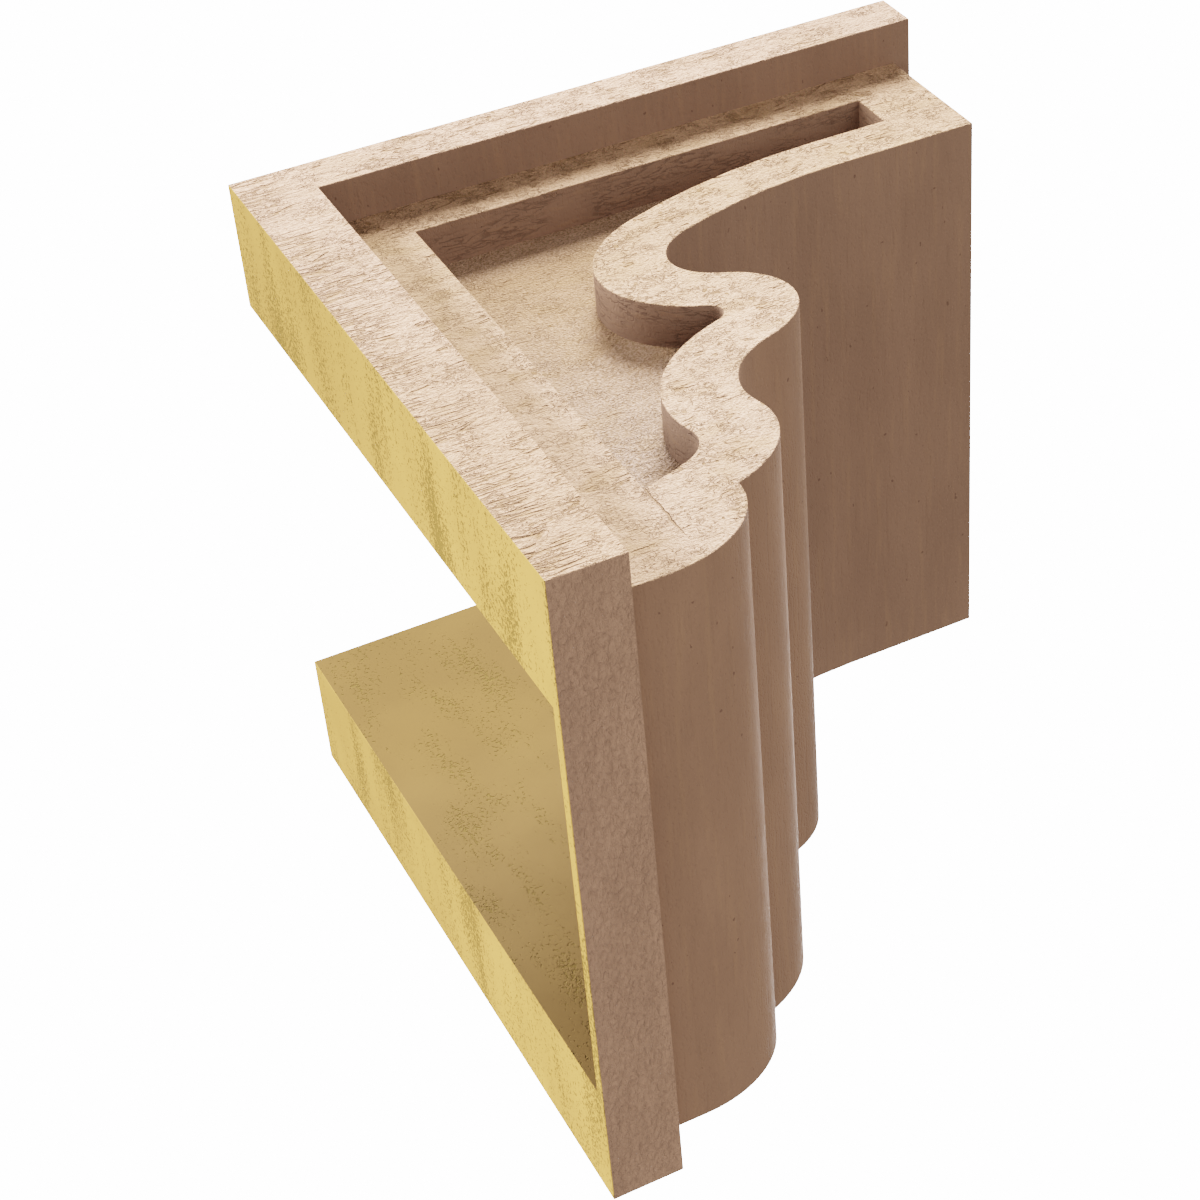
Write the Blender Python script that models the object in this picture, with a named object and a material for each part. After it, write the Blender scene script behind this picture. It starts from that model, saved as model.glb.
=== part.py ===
"""Moulded faux-wood scroll corbel, open at the back and at the top.

Metres, +Z up. The wall plane is y = 0 and the corbel reaches out to -Y.
The origin is in the middle of the thin foot edge, on the wall plane.
"""
import math

import bmesh
import bpy

MM = 0.001

# Outer size, and the plate that covers the back and the top like an L.
WIDTH = 203.2 * MM
DEPTH = 203.2 * MM
HEIGHT = 203.2 * MM
BACK_PLATE = 20.3 * MM
TOP_PLATE = 14.7 * MM

# Each cheek steps in from the plate's edge to the rim, and again from the rim to the panel.
STEP_IN = 12.7 * MM
CHEEK = 38.1 * MM

# The plates stand proud of the body at its front and at its foot.
FRONT_LIP = 5.3 * MM
FOOT_LIP = 3.5 * MM
FOOT_EDGE = 3.5 * MM

# Side profile: heights are above the foot, depths are out from the wall.
NOSE_UNDERSIDE = 144.9 * MM
CEILING_START = 153.6 * MM
FOOT_BULGE_START = 30.0 * MM
SCROLL_ARCS = (  # name, turn in degrees (plus hollows, minus bulges), radius
    ("nose ceiling", 28.0, 79.8 * MM),
    ("upper cove", 119.9, 13.9 * MM),
    ("upper bulge", -124.4, 18.9 * MM),
    ("lower cove", 79.1, 20.9 * MM),
    ("lower bulge", -79.5, 24.7 * MM),
)
ARC_STEP = 6.0  # degrees of arc for each facet, at most
SHARP_EDGE = math.radians(25)

# The scroll is drawn with round arcs and then stretched in depth, as the two plates are.
STRETCH = BACK_PLATE / TOP_PLATE
BODY_FRONT = DEPTH - FRONT_LIP
PANEL_BACK = 2 * BACK_PLATE
PANEL_TOP = HEIGHT - 2 * TOP_PLATE
PANEL_FRONT = BODY_FRONT - BACK_PLATE
PANEL_UNDERSIDE = NOSE_UNDERSIDE + TOP_PLATE
FOOT_Z = -FOOT_EDGE / 2
CLEAR = 10 * MM  # how far a cutter runs out past the faces it opens

TAN = (0.66, 0.49, 0.36, 1.0)


def clear_scene():
    for item in list(bpy.data.objects):
        bpy.data.objects.remove(item, do_unlink=True)


def scroll(inset):
    """Depth and height of the scroll from the nose to the cusp, moved into the body by inset."""
    depth, height, heading = CEILING_START / STRETCH, NOSE_UNDERSIDE, math.pi
    points = [(CEILING_START, height + inset)]
    for _name, turn, radius in SCROLL_ARCS:
        side = math.copysign(1, turn)
        to_centre = heading + side * math.pi / 2
        centre_depth = depth + radius * math.cos(to_centre)
        centre_height = height + radius * math.sin(to_centre)
        steps = math.ceil(abs(turn) / ARC_STEP)
        for step in range(1, steps + 1):
            angle = to_centre + math.pi + math.radians(turn) * step / steps
            reach = radius + side * inset
            points.append(
                ((centre_depth + reach * math.cos(angle)) * STRETCH, centre_height + reach * math.sin(angle))
            )
        depth = centre_depth + radius * math.cos(angle)
        height = centre_height + radius * math.sin(angle)
        heading += math.radians(turn)
    return points


def quarter_bulge(start, end):
    """Points of the foot bulge after start: a quarter of an ellipse that ends flat at end."""
    reach, drop = start[0] - end[0], start[1] - end[1]
    steps = math.ceil(90 / ARC_STEP)
    angles = [math.pi / 2 * step / steps for step in range(1, steps + 1)]
    return [(end[0] + reach * math.cos(a), end[1] + drop * (1 - math.sin(a))) for a in angles]


def plate_outline():
    """The L of the back plate and the top plate."""
    under_top = HEIGHT - TOP_PLATE
    return [(0, 0), (BACK_PLATE, 0), (BACK_PLATE, under_top), (DEPTH, under_top), (DEPTH, HEIGHT), (0, HEIGHT)]


def body_outline():
    """The scroll body, set half way into both plates."""
    behind, above = BACK_PLATE / 2, HEIGHT - TOP_PLATE / 2
    edge = scroll(0)
    foot = quarter_bulge(edge[-1], (FOOT_BULGE_START, FOOT_LIP))
    corners = [(behind, FOOT_LIP), (behind, above), (BODY_FRONT, above), (BODY_FRONT, NOSE_UNDERSIDE)]
    return corners + edge + foot


def wall_line():
    """The rim's inner edge, from the nose down to where it meets the back strip."""
    line = scroll(TOP_PLATE)
    (depth_a, height_a), (depth_b, height_b) = line[-2:]
    slope = (height_b - height_a) / (depth_b - depth_a)
    return line + [(PANEL_BACK, height_b + slope * (PANEL_BACK - depth_b))]


def panel_outline():
    """The sunk panel of a cheek, between the L strip and the rim."""
    return [(PANEL_BACK, PANEL_TOP), (PANEL_FRONT, PANEL_TOP), (PANEL_FRONT, PANEL_UNDERSIDE)] + wall_line()


def hollow_outline():
    """The hollow between the cheeks, open through the wall plane and the top."""
    behind, above = -CLEAR, HEIGHT + CLEAR
    corners = [(behind, above), (PANEL_FRONT, above), (PANEL_FRONT, PANEL_UNDERSIDE)]
    return corners + wall_line() + [(0, FOOT_EDGE), (behind, FOOT_EDGE)]


def prism(name, outline, x_low, x_high):
    """A closed solid with the outline in the side plane, extruded across the width."""
    mesh = bpy.data.meshes.new(name)
    solid = bmesh.new()
    ring = [solid.verts.new((x_low, -depth, FOOT_Z + height)) for depth, height in outline]
    face = solid.faces.new(ring)
    moved = bmesh.ops.extrude_face_region(solid, geom=[face])["geom"]
    corners = [item for item in moved if isinstance(item, bmesh.types.BMVert)]
    bmesh.ops.translate(solid, verts=corners, vec=(x_high - x_low, 0, 0))
    bmesh.ops.recalc_face_normals(solid, faces=solid.faces)
    solid.to_mesh(mesh)
    solid.free()
    item = bpy.data.objects.new(name, mesh)
    bpy.context.scene.collection.objects.link(item)
    return item


def combine(target, tool, operation):
    """Adds a Boolean to target and puts the tool away as a wire helper."""
    boolean = target.modifiers.new(tool.name, "BOOLEAN")
    boolean.operation = operation
    boolean.solver = "EXACT"
    boolean.object = tool
    tool.display_type = "WIRE"
    tool.hide_render = True


def tan_finish():
    """Primed tan finish with a wood texture."""
    material = bpy.data.materials.new("tan_finish")
    material.use_nodes = True
    shader = material.node_tree.nodes["Principled BSDF"]
    shader.inputs["Base Color"].default_value = TAN
    shader.inputs["Roughness"].default_value = 0.8
    shader.inputs["Metallic"].default_value = 0.0
    return material


def build_corbel():
    half = WIDTH / 2
    rim = half - STEP_IN
    panel = rim - STEP_IN
    corbel = prism("corbel", body_outline(), -rim, rim)
    combine(corbel, prism("plates", plate_outline(), -half, half), "UNION")
    for side, x_low, x_high in (("left", -half - CLEAR, -panel), ("right", panel, half + CLEAR)):
        combine(corbel, prism("panel_" + side, panel_outline(), x_low, x_high), "DIFFERENCE")
    combine(corbel, prism("hollow", hollow_outline(), CHEEK - half, half - CHEEK), "DIFFERENCE")
    corbel.data.materials.append(tan_finish())
    corbel.data.shade_smooth()
    corbel.data.set_sharp_from_angle(angle=SHARP_EDGE)
    return corbel


clear_scene()
build_corbel()
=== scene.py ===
"""Looks of the moulded scroll corbel: its grained tan skin and bare foam, the light and the camera.

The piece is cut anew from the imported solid's own flat faces, so it keeps that solid's form, and its
relief only goes inwards. Metres, in the frame's axes: +Z up, wall plane y = 0, corbel out to -Y.
"""

import math

import bmesh
import bpy
from mathutils import Matrix, Vector, geometry, kdtree, noise


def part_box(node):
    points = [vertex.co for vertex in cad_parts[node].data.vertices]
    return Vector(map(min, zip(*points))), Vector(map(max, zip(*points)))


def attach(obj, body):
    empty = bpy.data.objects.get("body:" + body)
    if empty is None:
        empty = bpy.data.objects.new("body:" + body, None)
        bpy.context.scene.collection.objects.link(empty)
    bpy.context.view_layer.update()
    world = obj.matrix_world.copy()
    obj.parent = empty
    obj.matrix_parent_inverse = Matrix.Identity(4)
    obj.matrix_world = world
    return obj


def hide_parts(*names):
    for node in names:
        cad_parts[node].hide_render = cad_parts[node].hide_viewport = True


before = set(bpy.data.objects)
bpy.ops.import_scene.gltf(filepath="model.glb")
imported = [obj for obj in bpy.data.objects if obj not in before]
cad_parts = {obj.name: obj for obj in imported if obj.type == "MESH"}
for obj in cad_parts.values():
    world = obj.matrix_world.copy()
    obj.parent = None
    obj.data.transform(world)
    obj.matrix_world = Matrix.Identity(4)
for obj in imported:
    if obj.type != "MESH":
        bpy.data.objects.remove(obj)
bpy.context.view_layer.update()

MM = 0.001
LOW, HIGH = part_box("corbel")
CENTRE = (LOW + HIGH) / 2

# Where the solid's surfaces lie, from its outer box inwards.
CHEEK = 38.1 * MM
STEP_IN = 12.7 * MM
BACK_PLATE = 20.3 * MM
TOP_PLATE = 14.7 * MM
RIM = HIGH.x - STEP_IN
PANEL = RIM - STEP_IN
HOLLOW = HIGH.x - CHEEK

# Where the hairline crack runs, and how far the painted step shadows, the edge cracks and the tints reach.
SEAM_DEPTH = 2 * BACK_PLATE
SEAM_TOP = LOW.z + 36.5 * MM
SEAM_LOW = LOW.z + 12 * MM
BACK_SHADOW_REACH = (12 * MM, 20 * MM)  # from the step behind to where its painted shadow is still full, and gone
TOP_SHADOW_REACH = (6 * MM, 17 * MM)  # the same from the step above
SPLIT_REACH = (5 * MM, 19 * MM)  # from the wall plane to where the edge cracks are still full, and gone
TINT_LOW = LOW.z + 50 * MM  # the colour of the foot turns into that of the top from here to TINT_HIGH; painted shading on panel, skin, hollow
TINT_HIGH = LOW.z + 160 * MM

# Mesh: how far its points lie apart along X, Y and Z, by surface. On a face with fine grain they lie
# farther apart along it than across it.
SPACING = {
    "plate": Vector((2.4, 2.0, 0.55)) * MM,
    "rim": Vector((2.4, 2.0, 0.55)) * MM,
    "panel": Vector((2.4, 2.0, 0.6)) * MM,
    "foot": Vector((2.0, 0.7, 0.7)) * MM,
    "recess": Vector((3.0, 3.0, 3.0)) * MM,
    "skin": Vector((3.4, 2.4, 2.4)) * MM,
    "back": Vector((4.0, 4.0, 4.0)) * MM,
    "hollow": Vector((4.0, 4.0, 4.0)) * MM,
}
SURFACES = list(SPACING)
ROW_STEP = math.sqrt(3) / 2  # between rows of a triangular grid, as a share of the step along a row
BORDER_GAP = 0.62  # of a step, kept clear between the grid and the border of a face
EDGE_WEAR = 0.16 * MM
EDGE_SHARE = 0.05  # of the grain's depth that is left along the edges
EDGE_FADE = 2.2 * MM  # over which the grain comes to its full depth
FOAM_DEPTH = 0.03  # millimetres, as are the next six
SKIN_SWELL = 0.04
CHEEK_SWELL = 0.08
FIBRE_DEPTH = 0.06
GROOVE_DEPTH = 0.11
SPLIT_DEPTH = 0.25
RIB_DEPTH = 0.14
WELD = 0.01 * MM
FLAT = math.radians(0.3)
SHARP_EDGE = math.radians(25)

# Camera: on the line through the middle of the solid, rolled from -X up, as the photograph is framed.
VIEW_FROM = Vector((-0.6056, 0.3537, -0.7128)).normalized()
DISTANCE = 758.0 * MM
ROLL = math.radians(-3.04)
FRAME_PIXELS = 1200
FOCAL_PIXELS = 2738.0
CENTRE_PIXEL = (757.1, 562.8)
FLOOR_DROP = 500 * MM

# Light: direction towards each lamp, its strength and how wide it looks.
SUNS = (
    ("key", (-0.65, -0.40, 0.65), 14.5, 30),
    ("top", (-0.33, 0.67, 0.67), 7.0, 30),
    ("back", (0.0, 1.0, 0.0), 3.4, 40),
    ("low", (-0.50, -0.35, -0.79), 0.75, 40),
    ("front", (0.0, -0.88, 0.48), 0.9, 30),
    ("far", (0.79, -0.32, 0.52), 8.0, 30),
)
AMBIENT = 0.44
BACKDROP = 16.0

# Colours of the skin: each surface at its top and at its foot, the deep tan, the painted step shadows that
# are blended in, the painted shade at the bottom of its cracks and creases, and its dark specks.
TAN = (0.430, 0.233, 0.145)
# Painted shade: the skin and recess tints are a darker, shaded copy of the tan paint on faces turned from the
# lamps, the skin's darker still towards its top, under the nose.
SKIN_AT_FOOT = (0.366, 0.192, 0.114)
RECESS_AT_FOOT = (0.380, 0.218, 0.146)
# Painted light: the plate and rim tints are a paler, lit copy of the tan paint on the faces the key lamp
# falls on, and the panel's is painted paler and bluer towards its foot.
TAN_PLATE = (0.730, 0.405, 0.266)
PLATE_AT_FOOT = (0.635, 0.344, 0.211)
TAN_RIM = (0.662, 0.361, 0.212)
RIM_AT_FOOT = (0.735, 0.415, 0.270)
TAN_PANEL = (0.435, 0.228, 0.118)
PANEL_AT_FOOT = (0.620, 0.385, 0.280)
TAN_DEEP = (0.430, 0.222, 0.092)
# Painted shadow at the foot of the rim's steps, where the raised plate casts shade.
RIM_STEP_SHADOW = (0.235, 0.122, 0.046)
# A paler, neutral colour painted into the cast shadow below the panel's top step: painted shade that lightens
# it.
PANEL_STEP_SHADE = (0.610, 0.360, 0.235)
# Painted shade for the bottom of cracks and creases.
CREASE_SHADE = (0.180, 0.082, 0.018)
SPECK = (0.120, 0.060, 0.035)

# Colours of the foam: its open back, the top and the foot of the hollow, and its speckles. The hollow's are a
# shaded copy of the foam, painted shade that is paler at the foot.
FOAM = (0.410, 0.214, 0.050)
FOAM_SHADED = (0.152, 0.080, 0.0215)
SHADED_AT_FOOT = (0.190, 0.106, 0.036)
OLIVE = (0.140, 0.088, 0.016)

SKIN_SHEEN = 0.15
FOAM_SHEEN = 0.05
SKIN_ROUGHNESS = 0.8
GRAIN_ROUGHNESS = 0.85


def surface_of(face):
    """Which surface of the moulding a flat face belongs to."""
    normal, middle = face.normal, face.calc_center_median()
    reach = max(abs(v.co.x) for v in face.verts)
    if middle.y > -EDGE_WEAR or middle.z > HIGH.z - EDGE_WEAR:
        return "back"
    if reach < HOLLOW + 2 * EDGE_WEAR:
        return "hollow"
    if abs(normal.x) > 0.6:
        return "plate" if reach > RIM + EDGE_WEAR else "rim" if reach > PANEL + EDGE_WEAR else "panel"
    if middle.z < LOW.z + EDGE_WEAR:
        return "foot"
    return "recess" if abs(middle.x) > PANEL - EDGE_WEAR else "skin"


def flat_faces():
    """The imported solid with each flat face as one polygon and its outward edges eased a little."""
    solid = bmesh.new()
    solid.from_mesh(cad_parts["corbel"].data)
    bmesh.ops.remove_doubles(solid, verts=solid.verts, dist=WELD)
    bmesh.ops.dissolve_limit(solid, angle_limit=FLAT, verts=solid.verts, edges=solid.edges)
    sharp = [edge for edge in solid.edges if edge.is_convex and edge.calc_face_angle(0) > SHARP_EDGE]
    bmesh.ops.bevel(solid, geom=sharp, offset=EDGE_WEAR, segments=1, affect="EDGES", clamp_overlap=True)
    solid.normal_update()
    return solid


def grid_inside(ring):
    """Points of a triangular grid of step 1 inside the ring and clear of it."""
    border = kdtree.KDTree(len(ring))
    for index, (x, y) in enumerate(ring):
        border.insert((x, y, 0), index)
    border.balance()
    left, right = min(p[0] for p in ring), max(p[0] for p in ring)
    bottom, top = min(p[1] for p in ring), max(p[1] for p in ring)
    points = []
    row = 1
    while bottom + row * ROW_STEP < top:
        y = bottom + row * ROW_STEP
        crossings = []
        last_x, last_y = ring[-1]
        for next_x, next_y in ring:
            if (next_y > y) != (last_y > y):
                crossings.append((last_x - next_x) * (y - next_y) / (last_y - next_y) + next_x)
            last_x, last_y = next_x, next_y
        crossings.sort()
        for start, end in zip(crossings[::2], crossings[1::2]):
            first = math.ceil(start - left - row % 2 / 2)
            last = math.floor(end - left - row % 2 / 2)
            for column in range(first, last + 1):
                x = left + column + row % 2 / 2
                if border.find((x, y, 0))[2] > BORDER_GAP:
                    points.append((x, y))
        row += 1
    return points


def in_steps(run, spacing):
    """Length of a run counted in steps of the given spacing along X, Y and Z."""
    return Vector(length / step for length, step in zip(run, spacing)).length


def retile(solid):
    """The solid's flat faces tiled at the spacing of each.

    Gives the points, the triangles, the surface number of each, and how many points lie on edges: the first.
    """
    points = [vert.co.copy() for vert in solid.verts]
    between = {}
    kinds = {face: surface_of(face) for face in solid.faces}
    for edge in solid.edges:
        start, end = edge.verts[0].co, edge.verts[1].co
        run = end - start
        steps = max(math.ceil(in_steps(run, SPACING[kinds[face]])) for face in edge.link_faces)
        between[edge] = list(range(len(points), len(points) + steps - 1))
        points += [start.lerp(end, step / steps) for step in range(1, steps)]
    triangles, numbers, border = [], [], len(points)
    for face in solid.faces:
        loop_points = []
        for loop in face.loops:
            steps = between[loop.edge]
            loop_points += [loop.vert.index] + (steps if loop.edge.verts[0] == loop.vert else steps[::-1])
        tiles = tile_face(face, loop_points, points, SPACING[kinds[face]])
        triangles += tiles
        numbers += [SURFACES.index(kinds[face])] * len(tiles)
    return points, triangles, numbers, border


def tile_face(face, loop_points, points, spacing):
    """Triangles of one flat face, whose new inner points are added to points."""
    origin, normal = points[loop_points[0]], face.normal
    lead = Vector((0, 1, 0)) if abs(normal.x) > 0.6 else Vector((1, 0, 0))
    across = (lead - normal * lead.dot(normal)).normalized()
    upward = normal.cross(across)
    step_across = 1 / in_steps(across, spacing)
    step_upward = 1 / in_steps(upward, spacing)
    ring = []
    for index in loop_points:
        offset = points[index] - origin
        ring.append((offset.dot(across) / step_across, offset.dot(upward) / step_upward))
    inner = grid_inside(ring)
    tiles = geometry.delaunay_2d_cdt([Vector(p) for p in ring + inner], [], [list(range(len(ring)))], 1, 1e-6)
    numbered = list(loop_points)
    for x, y in inner:
        numbered.append(len(points))
        points.append(origin + across * x * step_across + upward * y * step_upward)
    sources = [source[0] for source in tiles[3]]
    return [[numbered[sources[corner]] for corner in tile] for tile in tiles[2]]


def smoothstep(low, high, value):
    share = min(max((value - low) / (high - low), 0), 1)
    return share * share * (3 - 2 * share)


def crease(place, sharpness):
    """A narrow valley, 1 along its bottom, where the noise passes zero."""
    return max(0, 1 - abs(noise.noise(place)) * sharpness)


def grain_depth(point, normal):
    """How far the moulded wood grain is sunk at a point of the surface."""
    x, y, z = point / MM
    if point.y > -0.5 * MM or abs(point.x) < HOLLOW + 0.5 * MM and normal.z > -0.5:
        return FOAM_DEPTH * MM * (1 + noise.noise(Vector((x, y, z)) / 9))
    on_cheek = smoothstep(0.4, 0.9, abs(normal.x))
    on_foot = smoothstep(0.4, 0.9, -normal.z) if point.z < LOW.z + MM else 0
    swell = 0.5 + 0.5 * noise.noise(Vector((x / 30, y / 40, z / 22)))
    fibre = 0.5 + 0.5 * noise.noise(Vector((x / 3, y / 6, z / 2.2)))
    patch = smoothstep(-0.25, 0.25, noise.noise(Vector((x / 9 + 40, y / 20, z / 13))))
    groove = crease(Vector((x / 3 + 7, y / 6, z / 2.8)), 6) * patch
    broken = smoothstep(0.0, 0.3, noise.noise(Vector((x, y, z)) / 15))
    split = crease(Vector((x / 5 + 3, y / 24, z / 5.5)), 9) * broken
    rib = 0.5 + 0.5 * noise.noise(Vector((x / 3.2, y / 1.8, z / 1.8 + 31)))
    grain = CHEEK_SWELL * swell + FIBRE_DEPTH * fibre + GROOVE_DEPTH * groove + SPLIT_DEPTH * split
    return (SKIN_SWELL * swell + on_cheek * grain + on_foot * RIB_DEPTH * rib) * MM


def moulding():
    """The corbel as one closed mesh with the grain sunk into it, less so along its edges."""
    points, triangles, numbers, border = retile(flat_faces())
    mesh = bpy.data.meshes.new("scroll_corbel")
    mesh.from_pydata(points, [], triangles)
    mesh.shade_smooth()
    mesh.polygons.foreach_set("material_index", numbers)
    mesh.set_sharp_from_angle(angle=SHARP_EDGE)
    normals = [vert.normal.copy() for vert in mesh.vertices]
    edges = kdtree.KDTree(border)
    for index, point in enumerate(points[:border]):
        edges.insert(point, index)
    edges.balance()
    for vert, normal in zip(mesh.vertices, normals):
        share = EDGE_SHARE + (1 - EDGE_SHARE) * smoothstep(0, EDGE_FADE, edges.find(vert.co)[2])
        vert.co -= normal * grain_depth(vert.co, normal) * share
    mesh.update()
    piece = bpy.data.objects.new("scroll_corbel", mesh)
    bpy.context.scene.collection.objects.link(piece)
    return piece


class Finish:
    """A material and short ways to add its nodes."""

    def __init__(self, name):
        self.material = bpy.data.materials.new(name)
        self.material.use_nodes = True
        self.tree = self.material.node_tree
        self.shader = self.tree.nodes["Principled BSDF"]
        self.place = self.tree.nodes.new("ShaderNodeTexCoord").outputs["Object"]
        axes = self.tree.nodes.new("ShaderNodeSeparateXYZ")
        self.feed(axes.inputs[0], self.place)
        self.x, self.y, self.z = axes.outputs

    def add(self, kind, **settings):
        node = self.tree.nodes.new(kind)
        for name, value in settings.items():
            setattr(node, name, value)
        return node

    def feed(self, socket, value):
        if isinstance(value, bpy.types.NodeSocket):
            self.tree.links.new(value, socket)
        else:
            socket.default_value = value

    def stretched(self, length, offset=(0, 0, 0)):
        """The place on the object, counted in the given lengths along X, Y and Z."""
        node = self.add("ShaderNodeMapping")
        self.feed(node.inputs["Vector"], self.place)
        node.inputs["Scale"].default_value = [1 / (size * MM) for size in length]
        node.inputs["Location"].default_value = offset
        return node.outputs["Vector"]

    def cloud(self, length, detail=2.0, roughness=0.5, distortion=0.0, offset=(0, 0, 0)):
        """Noise from 0 to 1 with features of the given lengths in millimetres."""
        node = self.add("ShaderNodeTexNoise")
        self.feed(node.inputs["Vector"], self.stretched(length, offset))
        node.inputs["Scale"].default_value = 1.0
        node.inputs["Detail"].default_value = detail
        node.inputs["Roughness"].default_value = roughness
        node.inputs["Distortion"].default_value = distortion
        return node.outputs["Fac"]

    def rise(self, out_low=0.0, out_high=1.0):
        """A smooth step up the corbel, from its foot to its top."""
        return self.between(self.z, TINT_LOW, TINT_HIGH, out_low, out_high)

    def two_tints(self, tints, fading, darkest, palest):
        """Colour from the tint of the foot to that of the top, darker and paler by fading."""
        share = self.between(fading, 0.35, 0.65)
        foot, head = (self.blend(share, shade(tint, darkest), shade(tint, palest)) for tint in tints)
        return self.blend(self.rise(), foot, head)

    def figure(self, operation, first, second=0.0):
        node = self.add("ShaderNodeMath", operation=operation)
        self.feed(node.inputs[0], first)
        self.feed(node.inputs[1], second)
        return node.outputs[0]

    def between(self, value, low, high, out_low=0.0, out_high=1.0):
        """A smooth step of value, from out_low at low to out_high at high."""
        node = self.add("ShaderNodeMapRange", interpolation_type="SMOOTHSTEP")
        self.feed(node.inputs["Value"], value)
        outputs = (("To Min", out_low), ("To Max", out_high))
        for socket, number in (("From Min", low), ("From Max", high), *outputs):
            node.inputs[socket].default_value = number
        return node.outputs["Result"]

    def lines(self, value, width):
        """Thin lines where value passes its middle."""
        off_middle = self.figure("ABSOLUTE", self.figure("SUBTRACT", value, 0.5))
        return self.between(off_middle, 0.0, width, 1.0, 0.0)

    def blend(self, share, first, second):
        """Colour from first to second by share."""
        node = self.add("ShaderNodeMix", data_type="RGBA")
        self.feed(node.inputs[0], share)
        for socket, colour in ((node.inputs[6], first), (node.inputs[7], second)):
            self.feed(socket, (*colour, 1.0) if isinstance(colour, tuple) else colour)
        return node.outputs[2]

    def relief(self, height, depth, under=None):
        """Bump of the given depth in millimetres, over another bump."""
        node = self.add("ShaderNodeBump")
        node.inputs["Distance"].default_value = depth * MM
        self.feed(node.inputs["Height"], height)
        if under is not None:
            self.feed(node.inputs["Normal"], under)
        return node.outputs["Normal"]

    def finish(self, colour, roughness, normal, sheen_level=SKIN_SHEEN):
        """The finished material, dull because its specular level is low."""
        self.feed(self.shader.inputs["Base Color"], colour)
        self.shader.inputs["Roughness"].default_value = roughness
        self.feed(self.shader.inputs["Normal"], normal)
        self.shader.inputs["Specular IOR Level"].default_value = sheen_level
        return self.material


def shade(colour, factor):
    return tuple(channel * factor for channel in colour)


def seam_line(skin):
    """A hairline crack that runs down the rim below the panel's corner."""
    wander = skin.figure("MULTIPLY", skin.cloud((6, 6, 5), detail=3, offset=(6, 2, 8)), 2.2 * MM)
    sideways = skin.figure("ADD", wander, SEAM_DEPTH - 1.1 * MM)
    off_line = skin.figure("ABSOLUTE", skin.figure("ADD", skin.y, sideways))
    along = skin.between(skin.z, SEAM_LOW, SEAM_LOW + 8 * MM)
    below = skin.between(skin.z, SEAM_TOP - MM, SEAM_TOP + MM, 1.0, 0.0)
    hair = skin.between(off_line, 0.1 * MM, 0.45 * MM, 0.9, 0.0)
    return skin.figure("MULTIPLY", hair, skin.figure("MULTIPLY", along, below))


def edge_splits(skin):
    """Straight cracks that start at the sawn back edge: fine ones in patches and a few bold ones."""
    reach = skin.between(skin.y, -SPLIT_REACH[1], -SPLIT_REACH[0])
    patches = skin.between(skin.cloud((60, 60, 13), detail=2, offset=(4, 1, 6)), 0.40, 0.50)
    splits = skin.lines(skin.cloud((30, 20, 2.0), detail=1.5, offset=(2, 2, 9)), 0.07)
    apart = skin.between(skin.cloud((60, 11, 9), detail=1, offset=(8, 5, 3)), 0.53, 0.58)
    bold = skin.lines(skin.cloud((40, 30, 7), detail=1, offset=(5, 3, 2)), 0.026)
    bold = skin.figure("MULTIPLY", bold, apart)
    splits = skin.figure("MULTIPLY", splits, skin.figure("MULTIPLY", patches, 0.8))
    splits = skin.figure("MAXIMUM", splits, bold)
    return skin.figure("MULTIPLY", splits, reach)


def near_steps(skin, level, by_back, by_top):
    """The given shares of painted shadow at the foot of the steps behind and above a sunk level, 0 away from
    them.
    """
    behind, above = -level * BACK_PLATE, HIGH.z - level * TOP_PLATE
    near_back = skin.between(skin.y, behind - BACK_SHADOW_REACH[1], behind - BACK_SHADOW_REACH[0], 0.0, by_back)
    near_top = skin.between(skin.z, above - TOP_SHADOW_REACH[1], above - TOP_SHADOW_REACH[0])
    near_back = skin.figure("MULTIPLY", near_back, skin.figure("SUBTRACT", 1.0, near_top))
    return skin.figure("MAXIMUM", near_back, skin.figure("MULTIPLY", near_top, by_top))


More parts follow.
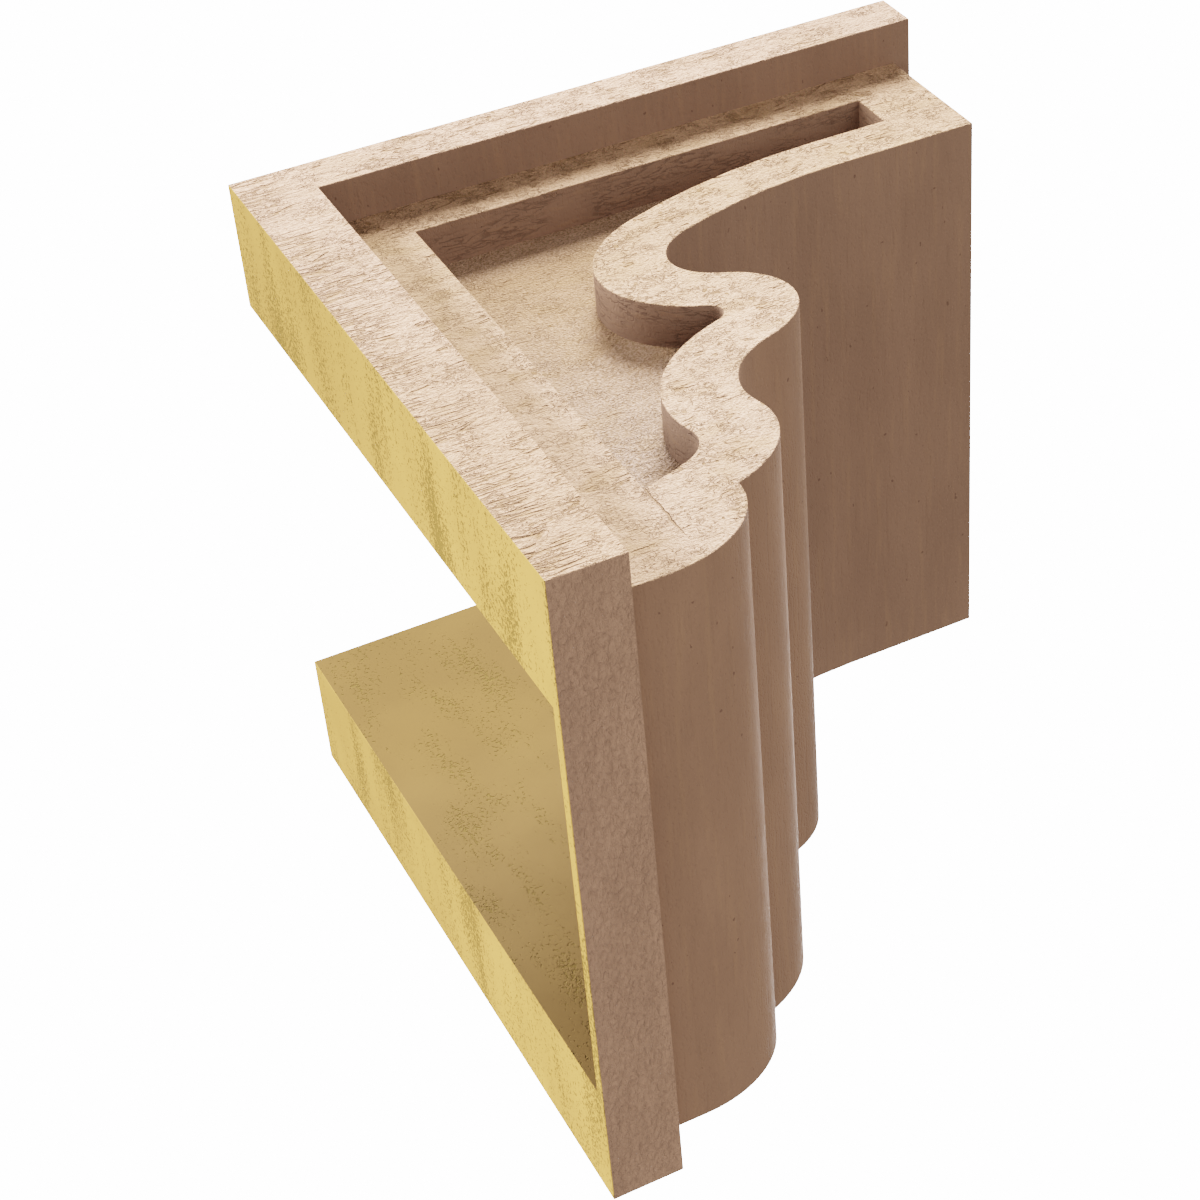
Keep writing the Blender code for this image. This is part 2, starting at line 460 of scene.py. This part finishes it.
def tan_cheek(name, tints, crinkle, marking, sand, warmth, extra=None, step_shade=None, steps=()):
    """Rough wood grain along Y: ripples, creases, cracks and sandy grit over a tan skin.

    The tints are those of its foot and its top. A sunk level has a painted step shadow, and its steps are the
    level's number and the shares of that painted shadow at the foot of the steps behind and above.
    """
    skin = Finish(name)
    tone = skin.cloud((30, 38, 16), detail=3)
    warm = skin.between(skin.cloud((13, 18, 8), detail=3, offset=(5, 3, 1)), 0.48, 0.66)
    rough = skin.between(skin.cloud((7, 10, 6), detail=3, offset=(9, 1, 4)), 0.50, 0.62)
    knotty = skin.between(skin.cloud((10, 9, 8), detail=2, offset=(3, 9, 2)), 0.48, 0.60)
    ripples = skin.cloud((1.8, 2.8, 1.4), detail=2.5, roughness=0.6, distortion=0.8, offset=(1, 6, 3))
    creases = skin.lines(skin.cloud((3.0, 6.5, 2.6), detail=3, roughness=0.62, distortion=0.8), 0.024)
    creases = skin.figure("MULTIPLY", creases, skin.between(rough, 0.0, 1.0, 0.05, 0.85))
    curls = skin.lines(skin.cloud((1.5, 2.6, 1.5), detail=2, distortion=0.9, offset=(7, 2, 3)), 0.05)
    curls = skin.figure("MULTIPLY", curls, knotty)
    dashes = skin.between(skin.cloud((1.0, 3.4, 0.85), detail=2, offset=(3, 5, 2)), 0.60, 0.70)
    split = skin.between(skin.cloud((9, 7, 10), detail=2, offset=(2, 8, 6)), 0.52, 0.58)
    cracks = skin.lines(skin.cloud((3, 22, 3.6), detail=2.5, offset=(1, 1, 7)), 0.030)
    cracks = skin.figure("MULTIPLY", cracks, skin.figure("MULTIPLY", split, marking))
    grit = skin.cloud((0.6, 0.8, 0.55), detail=1.5, roughness=0.7, offset=(4, 4, 9))
    pits = skin.between(skin.cloud((2.0, 2.0, 1.8), detail=0, offset=(8, 4, 9)), 0.80, 0.83)
    marks = skin.figure("MAXIMUM", skin.figure("MULTIPLY", creases, 0.9 * marking), cracks)
    marks = skin.figure("MAXIMUM", marks, skin.figure("MULTIPLY", dashes, 0.3 * marking))
    marks = skin.figure("MAXIMUM", marks, skin.figure("MULTIPLY", curls, 0.9 * marking))
    marks = skin.figure("MAXIMUM", marks, pits)
    if extra:
        marks = skin.figure("MAXIMUM", marks, extra(skin))
    colour = skin.two_tints(tints, tone, 0.97, 1.12)
    colour = skin.blend(skin.figure("MULTIPLY", warm, warmth), colour, TAN_DEEP)
    # Painted shadow: the step colour is blended in at the foot of a sunk level's steps, where their shade
    # falls.
    if step_shade:
        near_step = near_steps(skin, *steps)
        painted_shadow = skin.figure("MULTIPLY", near_step, skin.between(warm, 0.0, 1.0, 0.8, 1.0))
        painted_shadow = skin.figure("MULTIPLY", painted_shadow, skin.rise(0.75, 1.0))
        colour = skin.blend(painted_shadow, colour, step_shade)
        marks = skin.figure("MULTIPLY", marks, skin.between(near_step, 0.0, 1.0, 1.0, 0.35))
    colour = skin.blend(skin.between(grit, 0.35, 0.65, sand, 0.0), colour, shade(TAN_DEEP, 0.6))
    # Painted shade: the cracks, creases and pits are darkened in colour, as well as sunk by the bump.
    colour = skin.blend(skin.figure("MULTIPLY", marks, 0.66), colour, CREASE_SHADE)
    height = skin.figure("SUBTRACT", skin.figure("MULTIPLY", grit, 0.9 * sand), marks)
    height = skin.figure("ADD", height, skin.figure("MULTIPLY", ripples, crinkle))
    return skin.finish(colour, GRAIN_ROUGHNESS, skin.relief(height, 1.0))


def tan_foot():
    """Rough ribs along X on the foot strip."""
    skin = Finish("tan_foot")
    tone = skin.cloud((40, 9, 9), detail=2)
    ribs = skin.cloud((2.1, 1.2, 1.2), detail=2.5, roughness=0.6, distortion=0.5)
    lumps = skin.cloud((8, 2.6, 2.6), detail=2, offset=(3, 3, 3))
    colour = skin.blend(skin.between(tone, 0.35, 0.65), shade(TAN, 1.04), shade(TAN, 1.18))
    # Painted shade and highlight: the ribs' valleys are painted darker and their crests paler, following the
    # bump.
    colour = skin.blend(skin.between(ribs, 0.34, 0.52, 0.25, 0.0), colour, shade(TAN, 0.5))
    colour = skin.blend(skin.between(ribs, 0.56, 0.70, 0.0, 0.25), colour, shade(TAN, 1.4))
    height = skin.figure("ADD", ribs, skin.figure("MULTIPLY", lumps, 0.6))
    return skin.finish(colour, GRAIN_ROUGHNESS, skin.relief(height, 1.7))


def tan_skin(name, tints, streaks, run, thin, cracking):
    """Smoother moulded skin with fine cracks, and faint streaks that are run along X and thin across it."""
    skin = Finish(name)
    dirt = shade(TAN, 0.55)
    tone = skin.cloud((60, 20, 20), detail=4, roughness=0.6)
    pale = skin.between(skin.cloud((run, thin, thin), detail=3, roughness=0.6, offset=(2, 6, 1)), 0.50, 0.70)
    fine = (run / 2, thin * 0.6, thin * 0.6)
    dark = skin.between(skin.cloud(fine, detail=3, roughness=0.65, offset=(7, 1, 5)), 0.52, 0.72)
    dust = skin.between(skin.cloud((1.3, 0.8, 0.8), detail=2, roughness=0.6, offset=(5, 5, 5)), 0.50, 0.72)
    specks = skin.between(skin.cloud((1.9, 1.5, 1.5), detail=0.5, offset=(8, 3, 6)), 0.785, 0.82)
    grit = skin.cloud((0.7, 0.6, 0.6), detail=1.5, roughness=0.7, offset=(1, 8, 3))
    colour = skin.two_tints(tints, tone, 0.94, 1.05)
    colour = skin.blend(skin.figure("MULTIPLY", pale, 0.22 * streaks), colour, shade(TAN_PANEL, 1.15))
    colour = skin.blend(skin.figure("MULTIPLY", dark, 0.22 * streaks), colour, dirt)
    colour = skin.blend(skin.figure("MULTIPLY", dust, 0.10), colour, dirt)
    colour = skin.blend(skin.figure("MULTIPLY", specks, 0.6), colour, SPECK)
    if cracking:
        rough = skin.between(skin.cloud((9, 20, 20), detail=2, offset=(2, 7, 5)), 0.42, 0.56)
        cracks = skin.lines(skin.cloud((run, thin, thin), detail=3, distortion=0.6, offset=(9, 2, 3)), 0.055)
        cracks = skin.figure("MULTIPLY", cracks, skin.figure("MULTIPLY", rough, cracking))
        colour = skin.blend(cracks, colour, shade(TAN, 0.35))
        dark = skin.figure("MAXIMUM", dark, skin.figure("MULTIPLY", cracks, 3.0))
    height = skin.figure("ADD", grit, skin.figure("MULTIPLY", pale, 0.3 * streaks))
    height = skin.figure("SUBTRACT", height, skin.figure("ADD", dust, skin.figure("MULTIPLY", dark, streaks)))
    return skin.finish(colour, SKIN_ROUGHNESS, skin.relief(height, 0.08))


def raw_foam(name, tints, cluster, bare, speckle):
    """Bare yellow foam with olive speckles crowded into soft clusters of the given lengths."""
    foam = Finish(name)
    tone = foam.cloud((34, 30, 24), detail=3)
    crowd = foam.cloud(cluster, detail=2.5, roughness=0.55, offset=(3, 1, 4))
    grit = foam.cloud((1.3, 1.1, 1.1), detail=2, roughness=0.7, offset=(6, 2, 2))
    dirt = foam.between(foam.figure("ADD", grit, foam.figure("MULTIPLY", crowd, 0.7)), bare, bare + 0.14)
    colour = foam.two_tints(tints, tone, 0.98, 1.10)
    colour = foam.blend(foam.between(crowd, 0.42, 0.68, 0.0, 0.06), colour, OLIVE)
    colour = foam.blend(foam.figure("MULTIPLY", dirt, speckle), colour, OLIVE)
    height = foam.figure("SUBTRACT", foam.figure("MULTIPLY", tone, 0.4), dirt)
    return foam.finish(colour, SKIN_ROUGHNESS, foam.relief(height, 0.25), FOAM_SHEEN)


def camera():
    """The camera at the photograph's viewing angle and framing."""
    data = bpy.data.cameras.new("camera")
    item = bpy.data.objects.new("camera", data)
    bpy.context.scene.collection.objects.link(item)
    data.lens = FOCAL_PIXELS / FRAME_PIXELS * data.sensor_width
    data.shift_x = 0.5 - CENTRE_PIXEL[0] / FRAME_PIXELS
    data.shift_y = CENTRE_PIXEL[1] / FRAME_PIXELS - 0.5
    data.clip_start = 10 * MM
    up = Vector((-1, 0, 0))
    right = up.cross(VIEW_FROM).normalized()
    turn = Matrix((right, VIEW_FROM.cross(right), VIEW_FROM)).transposed().to_4x4()
    place = Matrix.Translation(CENTRE + VIEW_FROM * DISTANCE)
    item.matrix_world = place @ turn @ Matrix.Rotation(ROLL, 4, "Z")
    bpy.context.scene.camera = item


def lights():
    """Six wide soft lamps and an even pale surround that looks white to the camera."""
    for name, direction, strength, width in SUNS:
        data = bpy.data.lights.new(name, "SUN")
        data.energy = strength
        data.angle = math.radians(width)
        data.cycles.max_bounces = 0
        item = bpy.data.objects.new(name, data)
        item.rotation_mode = "QUATERNION"
        item.rotation_quaternion = Vector(direction).to_track_quat("Z", "Y")
        bpy.context.scene.collection.objects.link(item)
    world = bpy.data.worlds.new("surround")
    world.use_nodes = True
    bpy.context.scene.world = world
    nodes, links = world.node_tree.nodes, world.node_tree.links
    nodes["Background"].inputs["Strength"].default_value = AMBIENT
    nodes["Background"].inputs["Color"].default_value = (1, 1, 1, 1)
    seen = nodes.new("ShaderNodeBackground")
    seen.inputs["Strength"].default_value = BACKDROP
    choice = nodes.new("ShaderNodeMixShader")
    links.new(nodes.new("ShaderNodeLightPath").outputs["Is Camera Ray"], choice.inputs[0])
    links.new(nodes["Background"].outputs[0], choice.inputs[1])
    links.new(seen.outputs[0], choice.inputs[2])
    links.new(choice.outputs[0], nodes["World Output"].inputs["Surface"])
    bpy.context.scene.view_settings.view_transform = "Filmic"
    bpy.context.scene.view_settings.look = "None"


def floor():
    """A plain pale floor far below the corbel, and below the camera."""
    bpy.ops.mesh.primitive_plane_add(size=20, location=(CENTRE.x, CENTRE.y, LOW.z - FLOOR_DROP))
    ground = bpy.context.object
    ground.name = "floor"
    paint = Finish("floor_paint")
    tone = paint.cloud((900, 900, 900), detail=1)
    ground.data.materials.append(
        paint.finish(paint.blend(tone, (0.80, 0.80, 0.80), (0.84, 0.84, 0.84)), 0.9, paint.relief(tone, 0.1))
    )
    ground.visible_diffuse = ground.visible_shadow = False


camera()
lights()
floor()
corbel = moulding()
finishes = {
    "plate": tan_cheek(
        "tan_plate", (PLATE_AT_FOOT, TAN_PLATE), crinkle=1.1, marking=0.9, sand=0.45, warmth=0.18,
        extra=edge_splits
    ),
    "rim": tan_cheek(
        "tan_rim", (RIM_AT_FOOT, TAN_RIM), crinkle=0.8, marking=0.9, sand=0.50, warmth=0.34, extra=seam_line,
        step_shade=RIM_STEP_SHADOW, steps=(1, 0.68, 0.28)
    ),
    "panel": tan_cheek(
        "tan_panel", (PANEL_AT_FOOT, TAN_PANEL), crinkle=0.6, marking=0.35, sand=0.75, warmth=0.38,
        step_shade=PANEL_STEP_SHADE, steps=(2, 0.0, 0.9)
    ),
    "foot": tan_foot(),
    # Painted shade: the recess walls and the skin get darker copies of TAN, darkest at the skin's top.
    "recess": tan_skin(
        "tan_recess", (RECESS_AT_FOOT, shade(TAN, 0.86)), streaks=1.0, run=1.6, thin=7.0, cracking=0.55
    ),
    "skin": tan_skin(
        "tan_skin", (SKIN_AT_FOOT, shade(TAN, 0.75)), streaks=0.8, run=34, thin=2.6, cracking=0.0
    ),
    "back": raw_foam(
        "foam_back", (shade(FOAM, 1.21), FOAM), cluster=(90, 60, 15), bare=0.89, speckle=0.75
    ),
    "hollow": raw_foam(
        "foam_hollow", (SHADED_AT_FOOT, FOAM_SHADED), cluster=(24, 9, 24), bare=0.97, speckle=0.5
    ),
}
for surface in SURFACES:
    corbel.data.materials.append(finishes[surface])
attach(corbel, "root")
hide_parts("corbel")
